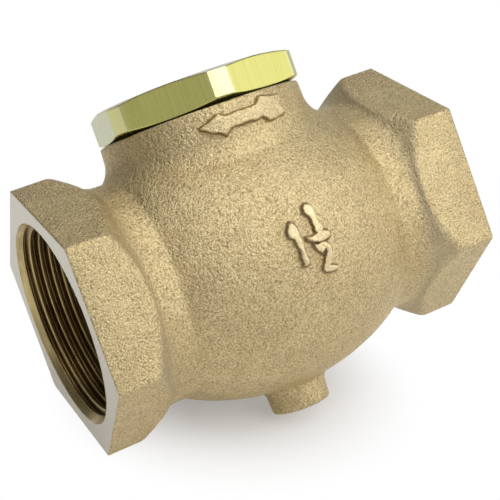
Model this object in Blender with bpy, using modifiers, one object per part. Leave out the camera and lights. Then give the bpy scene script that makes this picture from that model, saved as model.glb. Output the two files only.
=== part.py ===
"""Screwed lift check valve, size 1 1/2, cast in brass-coloured bronze.

The pipe run lies along X: the inlet is at +X and the outlet at -X. The cap points up, +Z, and
the front with the cast marks faces -Y. The origin is the crossing of the pipe axis and the cap
axis. Metres.
"""
import math

import bmesh
import bpy
from mathutils import Matrix

# Casting
BODY_LENGTH = 0.0990
GLOBE_RADIUS = 0.0343          # round the pipe axis
GLOBE_HALF_SPAN = 0.0447       # half axis of the globe's ellipse along the pipe
GLOBE_WALL = 0.0033
SOCKET_WALL = 0.00558          # over the thread's crests, at the middle of a flat
HEX_WIDTH = 0.0141             # at the middle of a flat
HEX_BACK_ANGLE = math.radians(45)
CORNER_TURNED_OFF = 0.0002     # taken off each hexagon corner's radius
ROOT_STEP = 0.00135            # from a flat in to the round root behind the hexagon
ROOT_FILLET = 0.0015
HEX_BACK_FILLET = 0.0030
BOSS_RADIUS = 0.0073
BOSS_HEIGHT = 0.0055           # stands out of the globe
BOSS_DRAFT = 0.0003
BOSS_FILLET = 0.0028

# Pipe sockets and flow passages
THREAD_MINOR_RADIUS = 0.02242
MOUTH_CHAMFER = 0.0017
SOCKET_DEPTH = 0.0210
SOCKET_RUNOUT = 0.0015
PORT_RADIUS = 0.0200
DECK_THICKNESS = 0.0055        # the bridge wall where it carries the seat
BRIDGE_WALL = 0.0030
BRIDGE_ROOM = 0.0010           # between the seat flange and the bridge's uprights
BRIDGE_LEAN = 0.0044           # how far each upright leans out
BRIDGE_CORNER_RADIUS = 0.0020

# Neck and cap
RIM_HEIGHT = 0.0347
NECK_WALL = 0.0042
NECK_DRAFT = 0.0005
NECK_FILLET = 0.0056
CAP_THREAD_RADIUS = 0.0205
CAP_THREAD_LENGTH = 0.0090
CAP_SKIRT_WALL = 0.0035
CAP_SHOULDER = 0.0028          # from the thread out to a flat
CAP_HEX_HEIGHT = 0.0076
CAP_CORNER_TURNED_OFF = 0.0012
CAP_CHAMFER = math.radians(15)
CAP_FACE_SETBACK = 0.0001      # from a flat in to the chamfer's inner edge
CAP_EDGE = 0.0006
CAP_PLATE = 0.0048
CAP_CLOCKING = math.radians(-6.5)   # where a corner stands once the cap is tight
GUIDE_CROWN = 0.0055           # cap left above the blind guide bore
GUIDE_WALL = 0.0032
VENT_RADIUS = 0.0013
SEAL_THICKNESS = 0.0012
SEAL_RECESS_LIP = 0.0017
FACING_ALLOWANCE = 0.0005      # cast on the rim and machined off
FACING_ROOM = 0.0010           # round the cap's corners

# Seat ring
SEAT_BORE_RADIUS = 0.0140
SEAT_RING_WALL = 0.0022
SEAT_FLANGE_STEP = 0.0016
SEAT_FLANGE_THICKNESS = 0.0025
SEAT_LIP_WIDTH = 0.0016
SEAT_LIP_HEIGHT = 0.0007
SEAT_SKIRT_PROUD = 0.0010
SEAT_LUG_WIDTH = 0.0050
SEAT_LUG_REACH = 0.0018        # into the bore
SEAT_LUG_HEIGHT = 0.0030

# Disc assembly
DISC_LIFT = 0.0075
SOFT_DISC_THICKNESS = 0.0028
SOFT_DISC_OVERLAP = 0.0006
HOLDER_RIM = 0.0014
HOLDER_RIM_BACK = 0.0009
HOLDER_PLATE = 0.0026
HOLDER_EDGE = 0.0006
STEM_RADIUS = 0.0050
STEM_END_ROOM = 0.0005
STUD_RADIUS = 0.0040
STUD_PROUD = 0.0010
PLATE_CLEARANCE = 0.0012
PLATE_THICKNESS = 0.0020
WASHER_RADIUS = 0.0069
WASHER_THICKNESS = 0.0016
WASHER_SPLIT = 0.0012
NUT_FLATS = 0.0130
NUT_HEIGHT = 0.0065
NUT_CHAMFER = math.radians(30)

# Fits
FIT_GAP = 0.0003               # left between pieces that touch or screw together
BURIED = 0.0005                # how far a joined shape reaches into its neighbour
FOOT_UNDERCUT = 0.00025        # keeps a fillet's foot just under the globe
CUT_BEYOND = 0.0100            # how far a cutter runs past the metal

# Facets
ROUND_STEPS = 48
SMALL_STEPS = 32
VENT_SIDES = 12
GLOBE_POINTS = 8
BACK_FILLET_POINTS = 6
NECK_FILLET_TURNS = 6
BOSS_FILLET_TURNS = 4
CORE_TURNS = 18
BRIDGE_CORNER_TURNS = 3
FOOT_PASSES = 6                # to settle where a fillet meets the globe
SHARP_ANGLE = math.radians(32)
MERGE = 0.00001

# Sizes that follow
HALF_LENGTH = BODY_LENGTH / 2
HEX_APOTHEM = THREAD_MINOR_RADIUS + SOCKET_WALL
HEX_CORNER_RADIUS = HEX_APOTHEM / math.cos(math.pi / 6) - CORNER_TURNED_OFF
HEX_BACK_SLOPE = math.tan(HEX_BACK_ANGLE)
ROOT_RADIUS = HEX_APOTHEM - ROOT_STEP
FLAT_START = HALF_LENGTH - HEX_WIDTH
BACK_FILLET_START = FLAT_START - (ROOT_STEP + HEX_BACK_FILLET) / HEX_BACK_SLOPE
BACK_FILLET_END = FLAT_START + (HEX_BACK_FILLET - ROOT_STEP) / HEX_BACK_SLOPE
CORNER_START = FLAT_START + (HEX_CORNER_RADIUS - HEX_APOTHEM) / HEX_BACK_SLOPE
BOSS_REACH = GLOBE_RADIUS + BOSS_HEIGHT
DECK_TOP = DECK_THICKNESS / 2
DECK_UNDERSIDE = -DECK_THICKNESS / 2

NECK_BORE_RADIUS = CAP_THREAD_RADIUS + FIT_GAP
RIM_RADIUS = NECK_BORE_RADIUS + NECK_WALL
NECK_FOOT_RADIUS = RIM_RADIUS + NECK_DRAFT
CAP_FLATS = 2 * (CAP_THREAD_RADIUS + CAP_SHOULDER)
CAP_CORNER_RADIUS = CAP_FLATS / 2 / math.cos(math.pi / 6) - CAP_CORNER_TURNED_OFF
FACING_RADIUS = CAP_CORNER_RADIUS + FACING_ROOM
CAP_UNDERSIDE = RIM_HEIGHT + FIT_GAP
SEAL_TOP = CAP_UNDERSIDE - FIT_GAP
SEAL_UNDERSIDE = SEAL_TOP - SEAL_THICKNESS
SEAL_FLOOR = SEAL_UNDERSIDE - FIT_GAP
SEAL_RECESS_RADIUS = RIM_RADIUS - SEAL_RECESS_LIP
CAP_TOP = CAP_UNDERSIDE + CAP_HEX_HEIGHT
GUIDE_BORE_RADIUS = STEM_RADIUS + FIT_GAP
GUIDE_BORE_TOP = CAP_TOP - GUIDE_CROWN

SEAT_THREAD_RADIUS = SEAT_BORE_RADIUS + SEAT_RING_WALL
SEAT_FLANGE_RADIUS = SEAT_THREAD_RADIUS + SEAT_FLANGE_STEP
SEAT_FLANGE_UNDERSIDE = DECK_TOP + FIT_GAP
SEAT_FLANGE_TOP = SEAT_FLANGE_UNDERSIDE + SEAT_FLANGE_THICKNESS
SEAT_LIP_TOP = SEAT_FLANGE_TOP + SEAT_LIP_HEIGHT
SEAT_RING_END = DECK_UNDERSIDE - SEAT_SKIRT_PROUD
BRIDGE_NEAR = SEAT_FLANGE_RADIUS + FIT_GAP + BRIDGE_ROOM
BRIDGE_FAR = BRIDGE_NEAR + BRIDGE_WALL
CHAMBER_END = BRIDGE_FAR + BRIDGE_LEAN

SOFT_DISC_UNDERSIDE = SEAT_LIP_TOP + FIT_GAP
SOFT_DISC_TOP = SOFT_DISC_UNDERSIDE + SOFT_DISC_THICKNESS
SOFT_DISC_RADIUS = SEAT_BORE_RADIUS + SEAT_LIP_WIDTH + SOFT_DISC_OVERLAP
STUD_HOLE_RADIUS = STUD_RADIUS + FIT_GAP
HOLDER_RECESS_RADIUS = SOFT_DISC_RADIUS + FIT_GAP
HOLDER_RADIUS = HOLDER_RECESS_RADIUS + HOLDER_RIM
HOLDER_CEILING = SOFT_DISC_TOP + FIT_GAP
HOLDER_TOP = HOLDER_CEILING + HOLDER_PLATE
GUIDE_END = HOLDER_TOP + DISC_LIFT + FIT_GAP
STEM_TOP = GUIDE_BORE_TOP - DISC_LIFT - STEM_END_ROOM
PLATE_RADIUS = SEAT_BORE_RADIUS - PLATE_CLEARANCE
PLATE_TOP = SOFT_DISC_UNDERSIDE - FIT_GAP
PLATE_UNDERSIDE = PLATE_TOP - PLATE_THICKNESS
WASHER_TOP = PLATE_UNDERSIDE - FIT_GAP
WASHER_UNDERSIDE = WASHER_TOP - WASHER_THICKNESS
NUT_TOP = WASHER_UNDERSIDE - FIT_GAP
NUT_UNDERSIDE = NUT_TOP - NUT_HEIGHT
STUD_END = NUT_UNDERSIDE - STUD_PROUD

ALONG_X = Matrix.Rotation(math.pi / 2, 4, "Y")
ALONG_Y = Matrix.Rotation(-math.pi / 2, 4, "X")
UPRIGHT = Matrix.Rotation(math.pi / 2, 4, "X")   # stands an XY outline up in the XZ plane


def start_collections():
    """Empty the scene and return the collections for the valve and for its cutters."""
    for item in list(bpy.data.objects):
        bpy.data.objects.remove(item, do_unlink=True)
    collections = []
    for name in ("check_valve", "cutters"):
        collection = bpy.data.collections.new(name)
        bpy.context.scene.collection.children.link(collection)
        collections.append(collection)
    return collections


VALVE, CUTTERS = start_collections()


def add_object(name, data, collection=None, turn=None):
    """Link data as an object. Without a collection it is a cutter, drawn as wire."""
    item = bpy.data.objects.new(name, data)
    if collection is None:
        collection = CUTTERS
        item.hide_render = True
        item.display_type = "WIRE"
    collection.objects.link(item)
    if turn is not None:
        item.matrix_world = turn
    return item


def lathe(name, profile, collection=None, ring=False, steps=ROUND_STEPS, turn=None):
    """Turn a profile of (radius, height) points, outer side top to bottom, about the Z axis."""
    mesh = bpy.data.meshes.new(name)
    points = [(radius, 0.0, height) for radius, height in profile]
    edges = [(i, i + 1) for i in range(len(points) - 1)]
    if ring:
        edges.append((len(points) - 1, 0))
    mesh.from_pydata(points, edges, [])
    item = add_object(name, mesh, collection, turn)
    screw = item.modifiers.new("turn", "SCREW")
    screw.steps = steps
    screw.render_steps = steps
    screw.use_merge_vertices = True
    screw.merge_threshold = MERGE
    return item


def prism(name, sides, flats, low, high, clocking=0.0, turn=None):
    """A regular prism about Z from low to high, a corner at the clocking angle from +X."""
    form = bmesh.new()
    radius = flats / 2 / math.cos(math.pi / sides)
    bmesh.ops.create_cone(form, cap_ends=True, segments=sides, radius1=radius, radius2=radius,
                          depth=high - low)
    corner = max(form.verts, key=lambda vert: (round(vert.co.x, 6), vert.co.y)).co
    start = math.atan2(corner.y, corner.x)
    form.transform(Matrix.Translation((0, 0, (low + high) / 2))
                   @ Matrix.Rotation(clocking - start, 4, "Z"))
    mesh = bpy.data.meshes.new(name)
    form.to_mesh(mesh)
    form.free()
    return add_object(name, mesh, turn=turn)


def block(name, centre, size):
    """A rectangular block."""
    form = bmesh.new()
    bmesh.ops.create_cube(form, size=1.0)
    form.transform(Matrix.Translation(centre) @ Matrix.Diagonal((*size, 1.0)))
    mesh = bpy.data.meshes.new(name)
    form.to_mesh(mesh)
    form.free()
    return add_object(name, mesh)


def upright_plate(name, outline, thickness):
    """A cutter with a flat outline of (x, z) points, spread evenly along Y."""
    curve = bpy.data.curves.new(name, "CURVE")
    curve.dimensions = "2D"
    curve.fill_mode = "BOTH"
    curve.extrude = thickness / 2
    spline = curve.splines.new("POLY")
    spline.points.add(len(outline) - 1)
    for point, (x, z) in zip(spline.points, outline):
        point.co = (x, z, 0.0, 1.0)
    spline.use_cyclic_u = True
    sketch = add_object(name + "_outline", curve, turn=UPRIGHT)
    bpy.context.view_layer.update()
    seen = sketch.evaluated_get(bpy.context.evaluated_depsgraph_get())
    mesh = bpy.data.meshes.new_from_object(seen)
    form = bmesh.new()
    form.from_mesh(mesh)
    bmesh.ops.remove_doubles(form, verts=form.verts, dist=MERGE)
    form.to_mesh(mesh)
    form.free()
    plate = add_object(name, mesh, turn=sketch.matrix_world.copy())
    bpy.data.objects.remove(sketch, do_unlink=True)
    return plate


def combine(item, operation, other):
    """Join, cut or intersect with a Boolean; the other shape becomes a cutter."""
    change = item.modifiers.new(other.name, "BOOLEAN")
    change.operation = operation
    change.solver = "EXACT"
    change.object = other


def finish(item, material):
    """Shade the piece smooth up to its real edges and give it its material."""
    bpy.context.view_layer.update()
    seen = item.evaluated_get(bpy.context.evaluated_depsgraph_get())
    mesh = bpy.data.meshes.new_from_object(seen)
    item.modifiers.clear()
    item.data = mesh
    mesh.name = item.name
    mesh.shade_smooth()
    mesh.set_sharp_from_angle(angle=SHARP_ANGLE)
    mesh.materials.clear()
    mesh.materials.append(material)


def make_material(name, colour, roughness, metallic):
    material = bpy.data.materials.new(name)
    material.use_nodes = True
    shader = material.node_tree.nodes["Principled BSDF"]
    shader.inputs["Base Color"].default_value = (*colour, 1.0)
    shader.inputs["Roughness"].default_value = roughness
    shader.inputs["Metallic"].default_value = metallic
    return material


def blended_max(first, second, width):
    """The larger of two radii, rounded where they cross, as a cast fillet is."""
    share = max(width - abs(first - second), 0.0) / width
    return max(first, second) + share * share * width / 4


def ellipse_radius(along, half_span, radius):
    """Radius of an ellipse of revolution at a distance along its axis."""
    return radius * math.sqrt(max(1.0 - (along / half_span) ** 2, 0.0))


def casting_radius(x):
    """Turned outline of the casting: globe, root, and the cone behind the hexagon."""
    cone = HEX_APOTHEM + (abs(x) - FLAT_START) * HEX_BACK_SLOPE
    globe = ellipse_radius(x, GLOBE_HALF_SPAN, GLOBE_RADIUS)
    radius = blended_max(globe, ROOT_RADIUS, ROOT_FILLET)
    return blended_max(radius, min(cone, HEX_CORNER_RADIUS), HEX_BACK_FILLET)


def casting_stations():
    """Places along X, from the middle out, where the turned outline gets a point."""
    root_share = min(ROOT_RADIUS / GLOBE_RADIUS, 1.0)
    root_start = GLOBE_HALF_SPAN * math.sqrt(1.0 - root_share ** 2)
    fillet_length = BACK_FILLET_END - BACK_FILLET_START
    stations = [root_start * math.sin(math.pi / 2 * i / GLOBE_POINTS) for i in range(GLOBE_POINTS)]
    stations += [root_start - ROOT_FILLET / 2, root_start + ROOT_FILLET / 2]
    stations += [BACK_FILLET_START + fillet_length * i / BACK_FILLET_POINTS
                 for i in range(BACK_FILLET_POINTS + 1)]
    stations.append(CORNER_START)
    return sorted(x for x in stations if x < HALF_LENGTH) + [HALF_LENGTH]


def casting_blank():
    """The casting turned in one outline, before its flats, neck, boss and bores."""
    half = [(casting_radius(x), x) for x in casting_stations()]
    profile = [(0.0, HALF_LENGTH)] + half[::-1]
    profile += [(radius, -x) for radius, x in half[1:]] + [(0.0, -HALF_LENGTH)]
    return lathe("body", profile, VALVE, turn=ALONG_X)


def flats_cutter(name, low, high):
    """What lies outside the hexagon at one end."""
    ring = lathe(name, [(0.0, high), (GLOBE_RADIUS + CUT_BEYOND, high),
                        (GLOBE_RADIUS + CUT_BEYOND, low), (0.0, low)], steps=SMALL_STEPS, turn=ALONG_X)
    hexagon = prism(name + "_hexagon", 6, 2 * HEX_APOTHEM, low - CUT_BEYOND, high + CUT_BEYOND,
                    turn=ALONG_X)
    combine(ring, "DIFFERENCE", hexagon)
    return ring


def branch(name, end, foot_radius, fillet, turns):
    """A round stub on the globe about Z, lofted from its end to a fillet that follows the globe.

    end is the (radius, height) of the stub's end; a negative height puts it under the globe.
    The fillet has that many turns, and the root runs in to the pipe axis.
    """
    side = math.copysign(1.0, end[1])
    columns = []
    for i in range(ROUND_STEPS):
        angle = 2 * math.pi * i / ROUND_STEPS
        reach = 1 / math.hypot(math.cos(angle) / GLOBE_HALF_SPAN, math.sin(angle) / GLOBE_RADIUS)
        foot = foot_radius
        for _ in range(FOOT_PASSES):
            height = ellipse_radius(foot, reach, GLOBE_RADIUS)
            slope = math.atan((GLOBE_RADIUS / reach) ** 2 * foot / height)
            foot = foot_radius + fillet * (1 - math.sin(slope))
        centre = height - FOOT_UNDERCUT + fillet * math.cos(slope)
        column = [(end[0], abs(end[1]))]
        for k in range(turns + 1):
            swing = (math.pi / 2 - slope) * k / turns
            column.append((foot_radius + fillet * (1 - math.cos(swing)), centre - fillet * math.sin(swing)))
        column.append((foot_radius / 2, 0.0))
        columns.append([(radius * math.cos(angle), radius * math.sin(angle), side * level)
                        for radius, level in column])
    form = bmesh.new()
    rings = [[form.verts.new(column[k]) for column in columns] for k in range(len(columns[0]))]
    for upper, lower in zip(rings, rings[1:]):
        for i in range(ROUND_STEPS):
            j = (i + 1) % ROUND_STEPS
            form.faces.new((upper[i], lower[i], lower[j], upper[j]))
    form.faces.new(rings[0])
    form.faces.new(rings[-1])
    bmesh.ops.recalc_face_normals(form, faces=form.faces)
    mesh = bpy.data.meshes.new(name)
    form.to_mesh(mesh)
    form.free()
    return add_object(name, mesh)


def socket(name, side):
    """Threaded socket bored to the thread's crests, with its mouth chamfer and its port."""
    end = HALF_LENGTH - SOCKET_DEPTH
    port_end = min(end, CHAMBER_END) - BURIED
    mouth = THREAD_MINOR_RADIUS + MOUTH_CHAMFER
    profile = [(0.0, HALF_LENGTH + CUT_BEYOND), (mouth + CUT_BEYOND, HALF_LENGTH + CUT_BEYOND),
               (THREAD_MINOR_RADIUS, HALF_LENGTH - MOUTH_CHAMFER),
               (THREAD_MINOR_RADIUS, end + SOCKET_RUNOUT), (PORT_RADIUS, end),
               (PORT_RADIUS, port_end), (0.0, port_end)]
    if side < 0:
        profile = [(radius, -x) for radius, x in profile[::-1]]
    return lathe(name, profile, turn=ALONG_X)


def rounded(outline, radius, turns):
    """A closed outline with its corners rounded, except corners given as square."""
    points = []
    count = len(outline)
    for i, (x, z, square) in enumerate(outline):
        if square:
            points.append((x, z))
            continue
        before, after = outline[i - 1], outline[(i + 1) % count]
        to_before = math.atan2(before[1] - z, before[0] - x)
        to_after = math.atan2(after[1] - z, after[0] - x)
        opening = (to_after - to_before + math.pi) % (2 * math.pi) - math.pi
        middle = to_before + opening / 2
        distance = radius / math.sin(abs(opening) / 2)
        centre = (x + distance * math.cos(middle), z + distance * math.sin(middle))
        sweep = math.copysign(math.pi - abs(opening), -opening)
        start = middle + math.pi - sweep / 2
        points += [(centre[0] + radius * math.cos(start + sweep * k / turns),
                    centre[1] + radius * math.sin(start + sweep * k / turns)) for k in range(turns + 1)]
    return points


def chamber(name, side):
    """One of the two cored chambers that the S-shaped bridge wall parts.

    side is +1 for the inlet's, under the seat, and -1 for the outlet's, over it.
    """
    reach = GLOBE_RADIUS + CUT_BEYOND
    outline = [(CHAMBER_END, -reach, True), (CHAMBER_END, PORT_RADIUS, True),
               (BRIDGE_FAR, DECK_UNDERSIDE, False), (-BRIDGE_NEAR, DECK_UNDERSIDE, False),
               (-BRIDGE_NEAR - BRIDGE_LEAN, -PORT_RADIUS, False),
               (-BRIDGE_NEAR - BRIDGE_LEAN, -reach, True)]
    outline = [(side * x, side * z, square) for x, z, square in outline]
    passage = upright_plate(name, rounded(outline, BRIDGE_CORNER_RADIUS, BRIDGE_CORNER_TURNS), 2 * reach)
    inner_span = GLOBE_HALF_SPAN - GLOBE_WALL
    inner_radius = GLOBE_RADIUS - GLOBE_WALL
    angles = [math.pi * i / CORE_TURNS for i in range(CORE_TURNS + 1)]
    profile = [(inner_radius * math.sin(angle), inner_span * math.cos(angle)) for angle in angles]
    profile[0] = (0.0, inner_span)
    profile[-1] = (0.0, -inner_span)
    core = lathe(name + "_core", profile, turn=ALONG_X)
    combine(passage, "INTERSECT", core)
    return passage


def neck_bore():
    """The cut that faces the rim, sinks the seal's recess and bores the cap's thread.

    It runs down into the outlet chamber, as far as the disc holder's top.
    """
    top = RIM_HEIGHT + CUT_BEYOND
    return lathe("neck_bore", [(0.0, top), (FACING_RADIUS, top), (FACING_RADIUS, RIM_HEIGHT),
                               (SEAL_RECESS_RADIUS, RIM_HEIGHT), (SEAL_RECESS_RADIUS, SEAL_FLOOR),
                               (NECK_BORE_RADIUS, SEAL_FLOOR), (NECK_BORE_RADIUS, HOLDER_TOP),
                               (0.0, HOLDER_TOP)])


def seat_bore():
    """Hole through the bridge wall for the seat ring's thread."""
    radius = SEAT_THREAD_RADIUS + FIT_GAP
    high = DECK_TOP + BURIED
    low = DECK_UNDERSIDE - BURIED
    return lathe("seat_bore", [(0.0, high), (radius, high), (radius, low), (0.0, low)])


def make_body(material):
    body = casting_blank()
    for name, low, high in (("inlet_flats", BACK_FILLET_START, HALF_LENGTH + CUT_BEYOND),
                            ("outlet_flats", -HALF_LENGTH - CUT_BEYOND, -BACK_FILLET_START)):
        combine(body, "DIFFERENCE", flats_cutter(name, low, high))
    neck_end = (RIM_RADIUS, RIM_HEIGHT + FACING_ALLOWANCE)
    combine(body, "UNION", branch("neck", neck_end, NECK_FOOT_RADIUS, NECK_FILLET, NECK_FILLET_TURNS))
    boss_end = (BOSS_RADIUS, -BOSS_REACH)
    boss_foot = BOSS_RADIUS + BOSS_DRAFT
    combine(body, "UNION", branch("boss", boss_end, boss_foot, BOSS_FILLET, BOSS_FILLET_TURNS))
    combine(body, "DIFFERENCE", chamber("inlet_chamber", 1))
    combine(body, "DIFFERENCE", chamber("outlet_chamber", -1))
    combine(body, "DIFFERENCE", neck_bore())
    combine(body, "DIFFERENCE", seat_bore())
    combine(body, "DIFFERENCE", socket("inlet_socket", 1))
    combine(body, "DIFFERENCE", socket("outlet_socket", -1))
    finish(body, material)


def make_seat_ring(material):
    lip_inner = SEAT_BORE_RADIUS
    lip_outer = SEAT_BORE_RADIUS + SEAT_LIP_WIDTH
    ring = lathe("seat_ring", [
        (lip_outer, SEAT_LIP_TOP), (lip_outer, SEAT_FLANGE_TOP), (SEAT_FLANGE_RADIUS, SEAT_FLANGE_TOP),
        (SEAT_FLANGE_RADIUS, SEAT_FLANGE_UNDERSIDE), (SEAT_THREAD_RADIUS, SEAT_FLANGE_UNDERSIDE),
        (SEAT_THREAD_RADIUS, SEAT_RING_END), (lip_inner, SEAT_RING_END), (lip_inner, SEAT_LIP_TOP)],
        VALVE, ring=True)
    depth = SEAT_LUG_REACH + SEAT_RING_WALL / 2
    offset = SEAT_BORE_RADIUS - SEAT_LUG_REACH + depth / 2
    level = SEAT_RING_END + BURIED + SEAT_LUG_HEIGHT / 2
    for name, side in (("front_lug", -1), ("rear_lug", 1)):
        lug = block(name, (0.0, side * offset, level), (SEAT_LUG_WIDTH, depth, SEAT_LUG_HEIGHT))
        combine(ring, "UNION", lug)
    finish(ring, material)


def make_cap(material):
    face = CAP_FLATS / 2 - CAP_FACE_SETBACK
    drop = (CAP_CORNER_RADIUS - face) * math.tan(CAP_CHAMFER)
    thread_end = CAP_UNDERSIDE - CAP_THREAD_LENGTH
    skirt_inner = CAP_THREAD_RADIUS - CAP_SKIRT_WALL
    ceiling = CAP_TOP - CAP_PLATE
    guide_outer = GUIDE_BORE_RADIUS + GUIDE_WALL
    edge = CAP_EDGE
    cap = lathe("cap", [
        (0.0, CAP_TOP), (face, CAP_TOP), (CAP_CORNER_RADIUS, CAP_TOP - drop),
        (CAP_CORNER_RADIUS, CAP_UNDERSIDE + drop), (face, CAP_UNDERSIDE),
        (CAP_THREAD_RADIUS, CAP_UNDERSIDE), (CAP_THREAD_RADIUS, thread_end + edge),
        (CAP_THREAD_RADIUS - edge, thread_end), (skirt_inner, thread_end), (skirt_inner, ceiling),
        (guide_outer, ceiling), (guide_outer, GUIDE_END + edge), (guide_outer - edge, GUIDE_END),
        (GUIDE_BORE_RADIUS, GUIDE_END), (GUIDE_BORE_RADIUS, GUIDE_BORE_TOP), (0.0, GUIDE_BORE_TOP)],
        VALVE)
    hexagon = prism("cap_hexagon", 6, CAP_FLATS, GUIDE_END - BURIED, CAP_TOP + BURIED,
                    clocking=CAP_CLOCKING - math.pi / 2)
    combine(cap, "INTERSECT", hexagon)
    vent = prism("vent", VENT_SIDES, 2 * VENT_RADIUS, -guide_outer - BURIED, guide_outer + BURIED,
                 turn=ALONG_Y)
    vent.location.z = ceiling - 2 * VENT_RADIUS
    combine(cap, "DIFFERENCE", vent)
    finish(cap, material)


def make_ring(name, outer, inner, top, underside, material, steps=ROUND_STEPS):
    """A plain flat ring about the cap axis."""
    ring = lathe(name, [(outer, top), (outer, underside), (inner, underside), (inner, top)], VALVE,
                 ring=True, steps=steps)
    finish(ring, material)


def make_disc_holder(material):
    rim_end = SOFT_DISC_UNDERSIDE + HOLDER_RIM_BACK
    edge = HOLDER_EDGE
    holder = lathe("disc_holder", [
        (0.0, STEM_TOP), (STEM_RADIUS - edge, STEM_TOP), (STEM_RADIUS, STEM_TOP - edge),
        (STEM_RADIUS, HOLDER_TOP), (HOLDER_RADIUS - edge, HOLDER_TOP), (HOLDER_RADIUS, HOLDER_TOP - edge),
        (HOLDER_RADIUS, rim_end), (HOLDER_RECESS_RADIUS, rim_end), (HOLDER_RECESS_RADIUS, HOLDER_CEILING),
        (STUD_RADIUS, HOLDER_CEILING), (STUD_RADIUS, STUD_END + edge), (STUD_RADIUS - edge, STUD_END),
        (0.0, STUD_END)], VALVE)
    finish(holder, material)


def make_lock_washer(material):
    washer = lathe("lock_washer", [
        (WASHER_RADIUS, WASHER_TOP), (WASHER_RADIUS, WASHER_UNDERSIDE),
        (STUD_HOLE_RADIUS, WASHER_UNDERSIDE), (STUD_HOLE_RADIUS, WASHER_TOP)], VALVE, ring=True,
        steps=SMALL_STEPS)
    middle = (WASHER_TOP + WASHER_UNDERSIDE) / 2
    split = block("washer_split", (WASHER_RADIUS, 0.0, middle),
                  (2 * (WASHER_RADIUS - STUD_RADIUS + BURIED), WASHER_SPLIT, 2 * WASHER_THICKNESS))
    combine(washer, "DIFFERENCE", split)
    finish(washer, material)


def make_disc_nut(material):
    corner = NUT_FLATS / 2 / math.cos(math.pi / 6)
    drop = (corner - NUT_FLATS / 2) * math.tan(NUT_CHAMFER)
    nut = lathe("disc_nut", [
        (NUT_FLATS / 2, NUT_TOP), (corner, NUT_TOP - drop), (corner, NUT_UNDERSIDE + drop),
        (NUT_FLATS / 2, NUT_UNDERSIDE), (STUD_HOLE_RADIUS, NUT_UNDERSIDE), (STUD_HOLE_RADIUS, NUT_TOP)],
        VALVE, ring=True, steps=SMALL_STEPS)
    combine(nut, "INTERSECT", prism("nut_hexagon", 6, NUT_FLATS, NUT_UNDERSIDE - BURIED, NUT_TOP + BURIED))
    finish(nut, material)


def make_valve():
    cast = make_material("cast_bronze", (0.50, 0.36, 0.19), 0.55, 0.85)
    turned = make_material("turned_brass", (0.72, 0.60, 0.28), 0.25, 1.0)
    steel = make_material("stainless_steel", (0.60, 0.60, 0.58), 0.30, 1.0)
    fibre = make_material("sealing_fibre", (0.10, 0.09, 0.08), 0.80, 0.0)
    soft = make_material("soft_disc", (0.86, 0.85, 0.82), 0.50, 0.0)
    make_body(cast)
    make_seat_ring(turned)
    make_cap(turned)
    make_ring("cap_seal", SEAL_RECESS_RADIUS - FIT_GAP, CAP_THREAD_RADIUS + FIT_GAP, SEAL_TOP,
              SEAL_UNDERSIDE, fibre)
    make_disc_holder(turned)
    make_ring("seat_disc", SOFT_DISC_RADIUS, STUD_HOLE_RADIUS, SOFT_DISC_TOP, SOFT_DISC_UNDERSIDE, soft)
    make_ring("disc_plate", PLATE_RADIUS, STUD_HOLE_RADIUS, PLATE_TOP, PLATE_UNDERSIDE, turned)
    make_lock_washer(steel)
    make_disc_nut(turned)


make_valve()
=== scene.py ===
"""Looks of the screwed lift check valve: its sand-cast body, pipe threads, raised marks and cap.

The casting is a distance field, meshed on a grid and settled on its exact surface, so every fillet
runs on into the next form as on the real casting. Metres, in the frame of the solids.
"""
import math

import bmesh
import bpy
import numpy as np
from mathutils import Matrix, Vector


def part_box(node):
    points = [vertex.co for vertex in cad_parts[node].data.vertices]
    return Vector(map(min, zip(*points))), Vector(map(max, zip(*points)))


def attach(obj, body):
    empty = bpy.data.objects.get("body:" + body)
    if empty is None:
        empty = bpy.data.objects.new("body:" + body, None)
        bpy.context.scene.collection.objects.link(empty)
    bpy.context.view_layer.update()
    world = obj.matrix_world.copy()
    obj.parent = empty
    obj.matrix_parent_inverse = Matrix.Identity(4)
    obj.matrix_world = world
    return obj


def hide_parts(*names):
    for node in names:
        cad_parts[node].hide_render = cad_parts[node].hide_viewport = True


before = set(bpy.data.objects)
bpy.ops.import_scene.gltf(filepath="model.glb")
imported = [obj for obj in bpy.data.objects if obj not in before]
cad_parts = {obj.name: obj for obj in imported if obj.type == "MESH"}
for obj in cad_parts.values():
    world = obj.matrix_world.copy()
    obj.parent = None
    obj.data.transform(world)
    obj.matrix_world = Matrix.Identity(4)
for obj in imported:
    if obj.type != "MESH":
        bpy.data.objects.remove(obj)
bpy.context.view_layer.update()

# Sizes read from the frame
BODY_LOW, BODY_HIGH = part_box("body")
CAP_LOW, CAP_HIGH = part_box("cap")
HALF_LENGTH = BODY_HIGH[0]
GLOBE_RADIUS = BODY_HIGH[1]
RIM_HEIGHT = BODY_HIGH[2]
BOSS_REACH = -BODY_LOW[2]
CAP_TOP = CAP_HIGH[2]
GUIDE_LOW = CAP_LOW[2]

# Casting
GLOBE_HALF_SPAN = 0.0447
GLOBE_WALL = 0.0033
HEX_APOTHEM = 0.0280
HEX_WIDTH = 0.0141
HEX_EDGE = 0.0012              # radius of the cast edges between flats
HEX_BACK_EDGE = 0.0008         # radius where the middle of a flat meets the cone behind it
HEX_CORNER_EDGE = 0.0034       # how much larger that radius is at the corners
HEX_LEAN = 0.5                 # cosine between the normals of two neighbouring flats
CONE_LEAN = 0.7                # cosine between the normals of a flat and the cone behind it
END_EDGE = 0.0004              # radius where a flat meets the machined end
ROOT_RADIUS = 0.02665
ROOT_FILLET = 0.0030
ROOT_REACH = 0.0380            # how far out the root's cylinder is drawn
HEX_BACK_FILLET = 0.0026
HEX_CORNER_FILLET = 0.0050     # how much larger that fillet is behind the corners
RIM_RADIUS = 0.0250
RIM_EDGE = 0.0004
NECK_SLOPE = 0.06
NECK_FILLET = 0.0056
BOSS_RADIUS = 0.0073
BOSS_SLOPE = 0.05
BOSS_EDGE = 0.0005
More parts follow.
